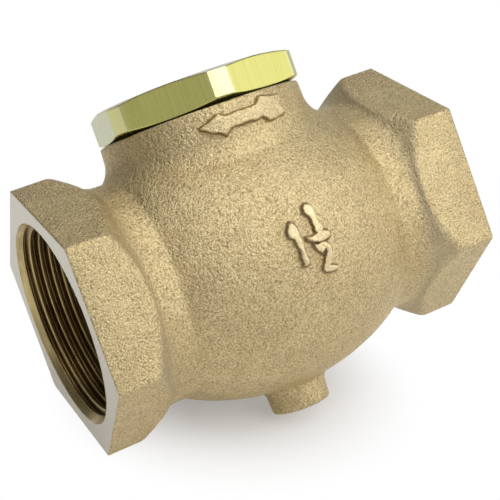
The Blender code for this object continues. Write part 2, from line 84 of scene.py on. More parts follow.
BOSS_FILLET = 0.0022
PORT_RADIUS = 0.0200
PORT_EDGE = 0.0010
SOCKET_END = 0.0285
SOCKET_RUNOUT = 0.0015
DECK_HALF = 0.00275
BRIDGE_NEAR = 0.0191
BRIDGE_FAR = 0.0221
BRIDGE_LEAN = 0.0044
BRIDGE_CORNER = 0.0020
CORE_CORNER = 0.0015
SEAT_HOLE_RADIUS = 0.0165
NECK_BORE_RADIUS = 0.0208
NECK_BORE_LOW = 0.01225
SEAL_RECESS_RADIUS = 0.0233
SEAL_FLOOR = 0.0332
STEEPEST_LEAN = 0.9            # fillets take two forms as no more alike than this
UNEVENNESS = 0.000025          # slow waves of the cast skin
UNEVEN_SHORT = 0.0030
UNEVEN_LONG = 0.0130
UNEVEN_SEED = 11
UNEVEN_WAVES = 48

# Raised marks
MARK_RELIEF = 0.00125
MARK_DRAFT = 0.50              # how much a mark widens towards its foot
MARK_EDGE = 0.00022
MARK_FILLET = 0.00025
MARK_SINK = 0.00005            # the skin round a mark dips under the casting by this
MARK_MARGIN = 0.00120          # how far the skin round a mark reaches
MARK_DEPTH = 0.00060           # how deep a mark is rooted in the casting
MARK_GRID = 0.00016
MARK_WOBBLE = 0.00012
MARK_WOBBLE_SHORT = 0.0014
MARK_WOBBLE_LONG = 0.0050
MARK_SEED = 5
MARK_WAVES = 16
MARK_SWELL = -0.00008          # how far a mark's top stands out round its written outline
ARROW_RISE = 0.86              # the arrow's top counts as this far up, so it keeps its grain
RISE = "rise"                  # attribute that says how far up a mark a point is, 1 at its top
NECK_MEAN_RADIUS = 0.0256      # where the arrow's outline is laid on the neck
SIZE_MARK_BOX = ((-0.0070, -0.0362, -0.0106), (0.0080, -0.0308, 0.0100))
ARROW_BOX = ((-0.0125, -0.0280, 0.0258), (0.0125, -0.0208, 0.0346))

# Outlines of the size mark, 1 1/2, in X and Z
BIG_ONE = [(-0.0026, 0.0051), (-0.0020, 0.0044), (-0.0018, 0.0033), (-0.0018, 0.0006),
           (-0.0018, -0.0029), (-0.0014, -0.0038), (-0.0016, -0.0046), (-0.0024, -0.0050),
           (-0.0030, -0.0048), (-0.0028, -0.0035), (-0.0028, -0.0016), (-0.0029, 0.0007),
           (-0.0030, 0.0015), (-0.0040, 0.0021), (-0.0040, 0.0032), (-0.0033, 0.0045)]
SMALL_ONE = [(0.0021, 0.0075), (0.0029, 0.0074), (0.0036, 0.0069), (0.0036, 0.0060), (0.0035, 0.0037),
             (0.0038, 0.0026), (0.0040, 0.0019), (0.0039, 0.0013), (0.0033, 0.0011), (0.0023, 0.0013),
             (0.0022, 0.0017), (0.0024, 0.0024), (0.0025, 0.0040), (0.0023, 0.0047), (0.0018, 0.0054),
             (0.0014, 0.0062), (0.0015, 0.0069)]
BAR = [(-0.0002, 0.0008), (0.0011, 0.0005), (0.0022, 0.0006), (0.0034, 0.0008), (0.0043, 0.0008),
       (0.0052, 0.0005), (0.0055, -0.0001), (0.0053, -0.0007), (0.0048, -0.0010), (0.0038, -0.0010),
       (0.0022, -0.0009), (0.0007, -0.0006), (-0.0002, 0.0002)]
SMALL_TWO = [(0.0008, -0.0012), (0.0017, -0.0016), (0.0026, -0.0015), (0.0036, -0.0015), (0.0042, -0.0019),
             (0.0046, -0.0027), (0.0046, -0.0036), (0.0041, -0.0049), (0.0036, -0.0058), (0.0031, -0.0068),
             (0.0039, -0.0071), (0.0050, -0.0074), (0.0049, -0.0082), (0.0033, -0.0080), (0.0018, -0.0076),
             (0.0014, -0.0072), (0.0016, -0.0066), (0.0022, -0.0058), (0.0027, -0.0049), (0.0033, -0.0037),
             (0.0034, -0.0031), (0.0031, -0.0029), (0.0026, -0.0033), (0.0021, -0.0035), (0.0016, -0.0027),
             (0.0012, -0.0019)]

# Outline of the flow arrow in arc length round the neck and Z
ARROW = [(-0.0106, 0.0305), (-0.0062, 0.0321), (-0.0048, 0.0313), (0.0031, 0.0315), (0.0049, 0.0329),
         (0.0104, 0.0322), (0.0090, 0.0300), (0.0104, 0.0282), (0.0051, 0.0276), (0.0038, 0.0289),
         (-0.0043, 0.0289), (-0.0058, 0.0277)]

# Cap
CAP_UNDERSIDE = 0.0350
CAP_APOTHEM = 0.0233
CAP_CORNER_RADIUS = 0.0257
CAP_CLOCKING = math.radians(-6.5)
CAP_CHAMFER_START = 0.0232
CAP_CHAMFER_SLOPE = math.tan(math.radians(15))
CAP_EDGE = 0.00022
CAP_ARC_MIDDLE = 0.29          # share of a round edge's radius that its middle is cut back by
CAP_TOP_RINGS = (0.002, 0.5, 0.985, 1.0)   # rings on the top, as shares of its radius
CAP_SHARP_ANGLE = math.radians(22)
CAP_THREAD_RADIUS = 0.0205
CAP_THREAD_LOW = 0.0260
CAP_SKIRT_RADIUS = 0.0170
CAP_CEILING = 0.0378
GUIDE_RADIUS = 0.0085
GUIDE_BORE_RADIUS = 0.0053
GUIDE_BORE_TOP = 0.0371
GUIDE_BORE_CLOSE = 0.02 * GUIDE_BORE_RADIUS   # radius of the face that closes the bore's end
VENT_RADIUS = 0.0013
VENT_SIDES = 48
VENT_LENGTH = 2.4 * GUIDE_RADIUS
VENT_HEIGHT = CAP_CEILING - 2 * VENT_RADIUS

# Pipe thread
THREAD_PITCH = 0.0254 / 11
THREAD_DEPTH = 0.640327 * THREAD_PITCH
THREAD_FLAT = 0.1373           # share of the pitch that each crest and each root takes up
THREAD_EASE = 0.35             # how far the flanks are eased into the crests and roots, of 1
THREAD_CREST_RADIUS = 0.02242
LINER_RADIUS = 0.02410
LINER_BACK = 0.00002           # the liner stops this far short of the casting it sits in
MOUTH_SLOPE = 0.63             # how fast the mouth's chamfer opens
MOUTH_DEPTH = 0.0018
MOUTH_PLAIN = 0.0007           # how far in the thread's grooves begin

# Stage
FLOOR_RADIUS = 1.5
FLOOR_SIDES = 96
FLOOR_GAP = 0.0002
FLOOR_COLOUR = (0.80, 0.80, 0.80)
FLOOR_WHITE_NEAR = 0.30        # how much of the floor's look is plain white close to the valve
FLOOR_IN_METAL = 0.35          # how much of that plain white metal shows
FLOOR_FADE_START = 0.015
FLOOR_FADE_END = 0.050
WORLD_LEVEL = 0.12             # the plain level of the dim room round the backdrop
BACKDROP_LEVEL = 0.80          # how bright metal shows the white backdrop, of 1
BACKDROP_SIDE = (0.55, 0.83, -0.05)
BACKDROP_EDGE = 0.45           # cosine where the white backdrop begins to fade in
BACKDROP_FULL = 0.85
RESTING_PASSES = 20
# Soft boxes: name, direction from the valve, distance, size, power
LIGHTS = [("top", (0.10, -0.52, 0.85), 0.75, 0.70, 3.3),
          ("front", (0.30, -0.92, 0.25), 0.75, 0.60, 2.65),
          ("side", (0.84, -0.52, -0.16), 0.75, 0.85, 2.6),
          ("fill", (-0.76, -0.62, 0.18), 0.75, 0.50, 0.28)]

# Meshing
TINY = 1e-9
GRID_MARGIN = 1.5              # how many cells a grid reaches past its box
SLOPE_STEP = 0.00002           # how far from a point a field's slope is read
LEAST_SLOPE = 0.2              # square of the gentlest slope that settling allows for
GRID = 0.0005
CASTING_TRIANGLES = 190000
PLANE_LEAST = 0.97             # cosine to a cut plane's normal from which a face counts as part of it
CAP_COLUMNS = 720
LINER_COLUMNS = 300
LINER_ROWS = 18   # rows of points in each pitch
ARC_POINTS = 4


def fillet_union(a, b, radius, lean=0.0):
    """Distance to two joined forms, with a rolled fillet between them.

    lean is the cosine of the angle between the two forms' normals.
    """
    u, v = radius - a, radius - b
    spread = np.sqrt(np.maximum(u * u + v * v - 2 * lean * u * v, 0) / (1 - lean * lean))
    rolled = (u > lean * v) & (v > lean * u)
    return np.where(rolled, radius - spread, np.minimum(a, b))


def round_cut(a, b, radius, lean=0.0):
    """Distance to what two forms share, with a round edge between them."""
    return -fillet_union(-a, -b, radius, lean)


def ellipsoid(x, y, z, half_span, radius):
    """Distance, near its surface, to an ellipsoid turned about X."""
    scaled = np.sqrt((x / half_span) ** 2 + (y * y + z * z) / radius ** 2)
    slope = np.sqrt((x / half_span ** 2) ** 2 + (y * y + z * z) / radius ** 4)
    return scaled * (scaled - 1) / np.maximum(slope, TINY)


def half_plane(x, z, start, end):
    """Distance to the side on the left of the line from start to end, in the XZ plane."""
    dx, dz = end[0] - start[0], end[1] - start[1]
    return ((x - start[0]) * dz - (z - start[1]) * dx) / math.hypot(dx, dz)


def hexagon(y, z):
    """Distance to a hexagon about X with a corner at +Z and round edges."""
    side = 0.5 * math.sqrt(3) * z
    first = np.abs(y) - HEX_APOTHEM
    second = np.abs(0.5 * y + side) - HEX_APOTHEM
    third = np.abs(0.5 * y - side) - HEX_APOTHEM
    return round_cut(round_cut(first, second, HEX_EDGE, HEX_LEAN), third, HEX_EDGE, HEX_LEAN)


def chamber(x, y, z):
    """Distance to the inlet chamber, under the seat. The outlet's is the same, turned about Y."""
    under = np.maximum(z + DECK_HALF, half_plane(x, z, (-BRIDGE_NEAR, -DECK_HALF),
                                                 (-BRIDGE_NEAR - BRIDGE_LEAN, -PORT_RADIUS)))
    under = np.maximum(under, -x - BRIDGE_NEAR - BRIDGE_LEAN)
    beside = half_plane(x, z, (BRIDGE_FAR + BRIDGE_LEAN, PORT_RADIUS), (BRIDGE_FAR, -DECK_HALF))
    passage = np.maximum(fillet_union(under, beside, BRIDGE_CORNER), x - BRIDGE_FAR - BRIDGE_LEAN)
    core = ellipsoid(x, y, z, GLOBE_HALF_SPAN - GLOBE_WALL, GLOBE_RADIUS - GLOBE_WALL)
    return round_cut(passage, core, CORE_CORNER)


def outer_form(x, y, z):
    """Distance to the outside of the casting, as if it were solid."""
    reach = np.abs(x)
    from_pipe = np.hypot(y, z)
    from_cap = np.hypot(x, y)
    globe = ellipsoid(x, y, z, GLOBE_HALF_SPAN, GLOBE_RADIUS)
    tilt = np.hypot(x / GLOBE_HALF_SPAN ** 2, from_pipe / GLOBE_RADIUS ** 2) + TINY
    globe_lean = np.minimum(from_pipe / GLOBE_RADIUS ** 2 / tilt, STEEPEST_LEAN)
    neck_lean = (x * x / GLOBE_HALF_SPAN ** 2 + y * y / GLOBE_RADIUS ** 2) / (tilt * from_cap + TINY)
    neck_lean = np.minimum(neck_lean, STEEPEST_LEAN)
    root = np.maximum(from_pipe - ROOT_RADIUS, reach - ROOT_REACH)
    cone = (from_pipe - HEX_APOTHEM - reach + HALF_LENGTH - HEX_WIDTH) * math.sqrt(0.5)
    corner = 0.5 + 0.5 * np.cos(6 * np.arctan2(y, z))
    end = round_cut(hexagon(y, z), cone, HEX_BACK_EDGE + HEX_CORNER_EDGE * corner, CONE_LEAN)
    end = round_cut(end, reach - HALF_LENGTH, END_EDGE)
    solid = fillet_union(globe, root, ROOT_FILLET, globe_lean)
    solid = fillet_union(solid, end, HEX_BACK_FILLET + HEX_CORNER_FILLET * corner, CONE_LEAN)
    neck = np.maximum(from_cap - RIM_RADIUS - (RIM_HEIGHT - z) * NECK_SLOPE, -z)
    solid = fillet_union(solid, neck, NECK_FILLET, neck_lean)
    solid = round_cut(solid, z - RIM_HEIGHT, RIM_EDGE)
    boss = round_cut(from_cap - BOSS_RADIUS - (BOSS_REACH + z) * BOSS_SLOPE, -BOSS_REACH - z, BOSS_EDGE)
    return fillet_union(solid, np.maximum(boss, z), BOSS_FILLET, neck_lean)


def casting(x, y, z):
    """Distance to the cast and machined body, without its threads and marks."""
    reach = np.abs(x)
    from_pipe = np.hypot(y, z)
    from_cap = np.hypot(x, y)
    hollow = np.minimum(chamber(x, y, z), chamber(-x, y, -z))
    port = np.maximum(from_pipe - PORT_RADIUS, BRIDGE_FAR + BRIDGE_LEAN - PORT_EDGE - reach)
    hollow = np.minimum(hollow, port)
    hollow = np.minimum(hollow, np.maximum(from_pipe - LINER_RADIUS, SOCKET_END - reach))
    bore = np.maximum(from_cap - NECK_BORE_RADIUS, NECK_BORE_LOW - z)
    recess = np.maximum(from_cap - SEAL_RECESS_RADIUS, SEAL_FLOOR - z)
    seat = np.maximum(from_cap - SEAT_HOLE_RADIUS, np.abs(z) - DECK_HALF - PORT_EDGE)
    hollow = np.minimum(np.minimum(hollow, seat), np.minimum(bore, recess))
    return np.maximum(outer_form(x, y, z), -hollow)


def field_normal(field, points):
    """Slope of a distance field at some points."""
    slope = np.empty_like(points)
    for axis in range(3):
        shift = np.zeros(3)
        shift[axis] = SLOPE_STEP
        slope[:, axis] = (field(*(points + shift).T) - field(*(points - shift).T)) / (2 * SLOPE_STEP)
    return slope


def settle(field, points, reach, passes=4):
    """Move points onto the surface where the field is zero, by at most reach in each pass."""
    for _ in range(passes):
        slope = field_normal(field, points)
        steep = np.maximum((slope ** 2).sum(1), LEAST_SLOPE)
        move = field(*points.T) / steep
        points = points - slope * np.clip(move, -reach, reach)[:, None]
    return points


def surface_net(field, low, high, step):
    """Points and quads of the surface where a field changes sign on a grid."""
    axes = [np.arange(a - step * GRID_MARGIN, b + step * GRID_MARGIN, step) for a, b in zip(low, high)]
    values = field(*np.meshgrid(*axes, indexing="ij"))
    inside = values < 0
    cells = tuple(n - 1 for n in values.shape)
    total = np.zeros((3,) + cells)
    count = np.zeros(cells)

    def corner(array, i, j, k):
        return array[i:i + cells[0], j:j + cells[1], k:k + cells[2]]

    for axis in range(3):
        for across in range(2):
            for along in range(2):
                a = [0, 0, 0]
                a[(axis + 1) % 3], a[(axis + 2) % 3] = across, along
                b = list(a)
                b[axis] = 1
                first, second = corner(values, *a), corner(values, *b)
                crossed = corner(inside, *a) != corner(inside, *b)
                share = np.where(crossed, first / np.where(crossed, first - second, 1), 0)
                count += crossed
                for k in range(3):
                    total[k] += crossed * (share if k == axis else a[k])
    crossed = count > 0
    number = np.full(cells, -1)
    number[crossed] = np.arange(crossed.sum())
    where = np.argwhere(crossed)
    origin = np.array([axis[0] for axis in axes])
    points = origin + (where + (total[:, crossed] / count[crossed]).T) * step

    quads = []
    for axis in range(3):
        b, c = (axis + 1) % 3, (axis + 2) % 3
        ahead = np.moveaxis(inside, (axis, b, c), (0, 1, 2))
        cell = np.moveaxis(number, (axis, b, c), (0, 1, 2))
        change = ahead[1:, 1:-1, 1:-1].astype(int) - ahead[:-1, 1:-1, 1:-1]
        for sign in (1, -1):
            i, j, k = np.nonzero(change == sign)
            ring = [cell[i, j, k], cell[i, j + 1, k], cell[i, j + 1, k + 1], cell[i, j, k + 1]]
            quads.append(np.stack(ring if sign < 0 else ring[::-1], 1))
    return points, np.concatenate(quads)


def waves(x, y, z, shortest, longest, seed, count):
    """A smooth uneven field, mostly between -1 and 1, from plane waves in many directions."""
    random = np.random.default_rng(seed)
    directions = random.normal(size=(count, 3))
    directions /= np.linalg.norm(directions, axis=1)[:, None]
    lengths = np.exp(random.uniform(math.log(shortest), math.log(longest), count))
    phases = random.uniform(0, 2 * math.pi, count)
    total = 0
    for (i, j, k), length, phase in zip(directions, lengths, phases):
        total = total + np.sin((x * i + y * j + z * k) * (2 * math.pi / length) + phase)
    return total / math.sqrt(count)


def mesh_object(name, points, faces):
    """An object from arrays of points and equal-sided faces, shaded smooth."""
    mesh = bpy.data.meshes.new(name)
    sides = faces.shape[1]
    mesh.vertices.add(len(points))
    mesh.vertices.foreach_set("co", np.ascontiguousarray(points, np.float32).ravel())
    mesh.loops.add(faces.size)
    mesh.loops.foreach_set("vertex_index", np.ascontiguousarray(faces, np.int32).ravel())
    mesh.polygons.add(len(faces))
    mesh.polygons.foreach_set("loop_start", np.arange(0, faces.size, sides, dtype=np.int32))
    mesh.update(calc_edges=True)
    mesh.validate()
    mesh.shade_smooth()
    item = bpy.data.objects.new(name, mesh)
    bpy.context.scene.collection.objects.link(item)
    return item


def close_holes(mesh):
    """Fill each open ring of edges with a face."""
    form = bmesh.new()
    form.from_mesh(mesh)
    bmesh.ops.holes_fill(form, edges=form.edges)
    form.to_mesh(mesh)
    form.free()


def apply_modifiers(item):
    """Make the result of an object's modifiers its own mesh."""
    bpy.context.view_layer.update()
    seen = item.evaluated_get(bpy.context.evaluated_depsgraph_get())
    mesh = bpy.data.meshes.new_from_object(seen)
    item.modifiers.clear()
    item.data = mesh


def machined(points):
    """True for points on the end faces, on the rim and in the sockets."""
    reach = np.abs(points[:, 0])
    faces = (reach > HALF_LENGTH - END_EDGE) | (points[:, 2] > RIM_HEIGHT - RIM_EDGE)
    from_pipe = np.hypot(points[:, 1], points[:, 2])
    bores = (reach > SOCKET_END - PORT_EDGE) & (from_pipe < LINER_RADIUS + RIM_EDGE)
    return faces | bores


def make_casting():
    """The body as one closed mesh, thinned to its triangle count, with a slightly uneven cast skin."""
    points, quads = surface_net(casting, BODY_LOW, BODY_HIGH, GRID)
    points = settle(casting, points, GRID / 2)
    item = mesh_object("cast_body", points, quads)
    triangles = 2 * len(quads)
    if triangles > CASTING_TRIANGLES:
        thin = item.modifiers.new("thin", "DECIMATE")
        thin.ratio = CASTING_TRIANGLES / triangles
        apply_modifiers(item)
    count = len(item.data.vertices)
    flat = np.empty(count * 3, np.float32)
    item.data.vertices.foreach_get("co", flat)
    points = flat.reshape(-1, 3).astype(float)
    normal = field_normal(casting, points)
    normal /= np.maximum(np.linalg.norm(normal, axis=1), TINY)[:, None]
    skin = waves(*points.T, UNEVEN_SHORT, UNEVEN_LONG, UNEVEN_SEED, UNEVEN_WAVES)
    push = UNEVENNESS * np.minimum(skin - 1, 0)
    points += normal * (push * ~machined(points))[:, None]
    item.data.vertices.foreach_set("co", points.astype(np.float32).ravel())
    item.data.update()
    item.data.shade_smooth()
    keep_planes_flat(item.data)
    return item


def keep_planes_flat(mesh):
    """Shade both end faces and the neck's rim as the flat planes they were cut to."""
    corners = np.empty(len(mesh.loops) * 3, np.float32)
    mesh.corner_normals.foreach_get("vector", corners)
    sides = np.empty(len(mesh.polygons), np.int32)
    mesh.polygons.foreach_get("loop_total", sides)
    facing, middle = (np.empty(len(mesh.polygons) * 3, np.float32) for _ in range(2))
    mesh.polygons.foreach_get("normal", facing)
    mesh.polygons.foreach_get("center", middle)
    facing, middle = facing.reshape(-1, 3), middle.reshape(-1, 3)
    end = (np.abs(facing[:, 0]) > PLANE_LEAST) & (np.abs(middle[:, 0]) > HALF_LENGTH - END_EDGE)
    rim = (facing[:, 2] > PLANE_LEAST) & (middle[:, 2] > RIM_HEIGHT - RIM_EDGE)
    plane = np.repeat(end | rim, sides)[:, None]
    corners = np.where(plane, np.repeat(np.round(facing), sides, axis=0), corners.reshape(-1, 3))
    mesh.normals_split_custom_set(corners.tolist())


def thread_radius(phase):
    """Radius of the pipe thread's hole at a place in its pitch, 0 and 1 at a crest."""
    wave = np.abs(2 * (phase % 1.0) - 1)
    rise = np.clip((wave - 0.5) / (1 - 2 * THREAD_FLAT) + 0.5, 0, 1)
    eased = rise * rise * (3 - 2 * rise)
    rise = eased * THREAD_EASE + rise * (1 - THREAD_EASE)
    return THREAD_CREST_RADIUS + THREAD_DEPTH * (1 - rise)


def make_liner(name, side):
    """The threaded inside of one socket, from its mouth chamfer to the end of its runout."""
    turns = LINER_COLUMNS
    thread_start = HALF_LENGTH - LINER_BACK
    thread_end = SOCKET_END + SOCKET_RUNOUT
    rows = int((thread_start - thread_end) / THREAD_PITCH * LINER_ROWS)
    depth = np.linspace(thread_start, thread_end, rows)
    angle = np.arange(turns) * 2 * math.pi / turns
    reach, turn = np.meshgrid(depth, angle, indexing="ij")
    radius = thread_radius(reach / THREAD_PITCH + side * turn / (2 * math.pi))
    fade = np.clip((reach - thread_end) / THREAD_PITCH, 0, 1)
    fade = np.minimum(fade, np.clip((thread_start - reach - MOUTH_PLAIN) / (THREAD_PITCH / 2), 0, 1))
    radius = THREAD_CREST_RADIUS + (radius - THREAD_CREST_RADIUS) * fade
    mouth = LINER_RADIUS - LINER_BACK - (thread_start - reach) * MOUTH_SLOPE
    radius = np.maximum(radius, mouth)
    ends = [(thread_end - SOCKET_RUNOUT + LINER_BACK, PORT_RADIUS),
            (thread_end - SOCKET_RUNOUT + LINER_BACK, LINER_RADIUS - LINER_BACK)]
    for place, size in ends:
        reach = np.vstack([reach, np.full((1, turns), place)])
        radius = np.vstack([radius, np.full((1, turns), size)])
    turn = np.tile(angle, (len(reach), 1))
    points = np.stack([side * reach, radius * np.cos(turn), radius * np.sin(turn)], -1).reshape(-1, 3)
    row, column = np.meshgrid(np.arange(len(reach)), np.arange(turns), indexing="ij")
    after, below = (column + 1) % turns, (row + 1) % len(reach)
    faces = np.stack([row * turns + column, row * turns + after, below * turns + after,
                      below * turns + column], -1).reshape(-1, 4)
    if side < 0:
        faces = faces[:, ::-1]
    return mesh_object(name, points, faces)


def line_distance(u, v, points):
    """Distance to a line through some points."""
    nearest = np.full(np.shape(u), np.inf)
    for (au, av), (bu, bv) in zip(points, points[1:]):
        du, dv = bu - au, bv - av
        along = np.clip(((u - au) * du + (v - av) * dv) / (du * du + dv * dv), 0, 1)
        nearest = np.minimum(nearest, np.hypot(u - au - along * du, v - av - along * dv))
    return nearest


def outline(u, v, corners):
    """Distance to a closed outline, negative inside it."""
    edge = line_distance(u, v, corners + corners[:1])
    inside = np.zeros(np.shape(u), bool)
    for (au, av), (bu, bv) in zip(corners, corners[1:] + corners[:1]):
        spans = (av > v) != (bv > v)
        crossing = au + (v - av) * (bu - au) / (bv - av if bv != av else TINY)
        inside ^= spans & (u < crossing)
    return np.where(inside, -edge, edge)


def size_mark(x, y, z):
    """Distance to the figures of the casting's size, 1 1/2, seen along Y."""
    figures = [outline(x, z, corners) for corners in (BIG_ONE, SMALL_ONE, BAR, SMALL_TWO)]
    return np.minimum.reduce(figures) - MARK_SWELL


def flow_arrow(x, y, z):
    """Distance to the arrow's outline, wrapped round the neck."""
    return outline(np.arctan2(x, -y) * NECK_MEAN_RADIUS, z, ARROW)


def raised_mark(name, shape, low, high, top=1.0):
    """A raised mark as a closed piece of its own, rooted in the casting, with a fillet round its foot."""
    def field(x, y, z):
        skin = outer_form(x, y, z)
        wobble = waves(x, y, z, MARK_WOBBLE_SHORT, MARK_WOBBLE_LONG, MARK_SEED, MARK_WAVES) * MARK_WOBBLE
        edge = shape(x, y, z) + wobble
        walls = edge - MARK_DRAFT * (MARK_RELIEF - skin)
        mark = round_cut(walls, skin - MARK_RELIEF - wobble / 2, MARK_EDGE)
        form = fillet_union(skin + MARK_SINK, mark, MARK_FILLET)
        return np.maximum(np.maximum(form, edge - MARK_MARGIN), -skin - MARK_DEPTH)

    points, quads = surface_net(field, low, high, MARK_GRID)
    points = settle(field, points, MARK_GRID / 3, 2)
    item = mesh_object(name, points, quads)
    rise = item.data.attributes.new(RISE, "FLOAT", "POINT")
    level = np.minimum(outer_form(*points.T) / MARK_RELIEF, top)
    rise.data.foreach_set("value", level.astype(np.float32))
    return item


def rounded_corners(section):
    """Points of a section in radius and height, each corner given with the radius it is rounded to."""
    points = []
    for i, (radius, height, fillet) in enumerate(section):
        here = Vector((radius, height))
        if fillet == 0 or i in (0, len(section) - 1):
            points.append(tuple(here))
            continue
        before = (Vector(section[i - 1][:2]) - here).normalized()
        after = (Vector(section[i + 1][:2]) - here).normalized()
        half = before.angle(after) / 2
        reach = fillet / math.tan(half)
        start, end = here + before * reach, here + after * reach
        points.append(tuple(start + before * fillet))
        for k in range(ARC_POINTS + 1):
            share = k / ARC_POINTS
            a, b = start.lerp(here, share), here.lerp(end, share)
            points.append(tuple(a.lerp(b, share)))
        points.append(tuple(end + after * fillet))
    return points


def cap_outer(turn):
    """Radius of the cap's hexagon, with its corners turned off, in one direction."""
    sixth = math.pi / 3
    from_corner = (turn - CAP_CLOCKING + math.pi / 2) % sixth
    flat = CAP_APOTHEM / np.cos(from_corner - sixth / 2)
    return np.minimum(flat, CAP_CORNER_RADIUS)


def make_cap():
    """The screwed cap, skinned through its sections from the top's middle to the blind guide bore."""
    turn = np.arange(CAP_COLUMNS) * 2 * math.pi / CAP_COLUMNS
    outer = cap_outer(turn)
    rings = []
    for face in (CAP_CHAMFER_START * share for share in CAP_TOP_RINGS):
        rings.append((np.full(CAP_COLUMNS, face), np.full(CAP_COLUMNS, CAP_TOP)))
    for upper in (True, False):
        level, side = (CAP_TOP, 1) if upper else (CAP_UNDERSIDE, -1)
        drop = np.maximum(outer - CAP_CHAMFER_START, 0) * CAP_CHAMFER_SLOPE
        middle = CAP_EDGE * CAP_ARC_MIDDLE
        edge = [(CAP_EDGE * 2, 0), (CAP_EDGE, 0), (middle, middle), (0, CAP_EDGE), (0, CAP_EDGE * 2)]
        for inward, down in (edge if upper else edge[::-1]):
            eased = drop - inward * CAP_CHAMFER_SLOPE
            rings.append((outer - inward, level - side * (np.maximum(eased, 0) + down)))
    rings.append((np.full(CAP_COLUMNS, CAP_CHAMFER_START - CAP_EDGE), np.full(CAP_COLUMNS, CAP_UNDERSIDE)))
    edge = CAP_EDGE
    section = [(CAP_CHAMFER_START - 2 * edge, CAP_UNDERSIDE, 0), (CAP_THREAD_RADIUS, CAP_UNDERSIDE, edge),
               (CAP_THREAD_RADIUS, CAP_THREAD_LOW, 2 * edge), (CAP_SKIRT_RADIUS, CAP_THREAD_LOW, edge),
               (CAP_SKIRT_RADIUS, CAP_CEILING, 3 * edge), (GUIDE_RADIUS, CAP_CEILING, 3 * edge),
               (GUIDE_RADIUS, GUIDE_LOW, 2 * edge), (GUIDE_BORE_RADIUS, GUIDE_LOW, edge),
               (GUIDE_BORE_RADIUS, GUIDE_BORE_TOP, edge), (GUIDE_BORE_CLOSE, GUIDE_BORE_TOP, 0)]
    for radius, height in rounded_corners(section):
        rings.append((np.full(CAP_COLUMNS, radius), np.full(CAP_COLUMNS, height)))
    radius = np.array([ring[0] for ring in rings])
    height = np.array([ring[1] for ring in rings])
    points = np.stack([radius * np.cos(turn), radius * np.sin(turn), height], -1).reshape(-1, 3)
    row, column = np.meshgrid(np.arange(len(rings) - 1), np.arange(CAP_COLUMNS), indexing="ij")
    here, beside = row * CAP_COLUMNS + column, row * CAP_COLUMNS + (column + 1) % CAP_COLUMNS
    quads = np.stack([here, here + CAP_COLUMNS, beside + CAP_COLUMNS, beside], -1).reshape(-1, 4)
    cap = mesh_object("screw_cap", points, quads)
    close_holes(cap.data)
    cut_vent(cap)
    cap.data.shade_smooth()
    cap.data.set_sharp_from_angle(angle=CAP_SHARP_ANGLE)
    return cap


def cut_vent(cap):
    """Bore the vent across the guide, just under the cap's ceiling."""
    bpy.ops.mesh.primitive_cylinder_add(vertices=VENT_SIDES, radius=VENT_RADIUS, depth=VENT_LENGTH,
                                        location=(0, 0, VENT_HEIGHT), rotation=(math.pi / 2, 0, 0))
    drill = bpy.context.object
    cut = cap.modifiers.new("vent", "BOOLEAN")
    cut.operation = "DIFFERENCE"
    cut.object = drill
    apply_modifiers(cap)
    bpy.data.objects.remove(drill)


def make_camera():
    """The photograph's viewpoint, fitted to the corners of both hexagons."""
    right = (0.8597, -0.3850, -0.3357)
    up = (0.3372, -0.0661, 0.9391)
    ahead = (0.3838, 0.9205, -0.0730)
    place = (-0.11154, -0.26952, 0.02138)
    data = bpy.data.cameras.new("camera")
    data.lens = 86.81
    data.sensor_width = 36
    data.clip_start = 0.01
    camera = bpy.data.objects.new("camera", data)
    camera.matrix_world = Matrix([(right[i], up[i], -ahead[i], place[i]) for i in range(3)] + [(0, 0, 0, 1)])
    bpy.context.scene.collection.objects.link(camera)
    bpy.context.scene.camera = camera


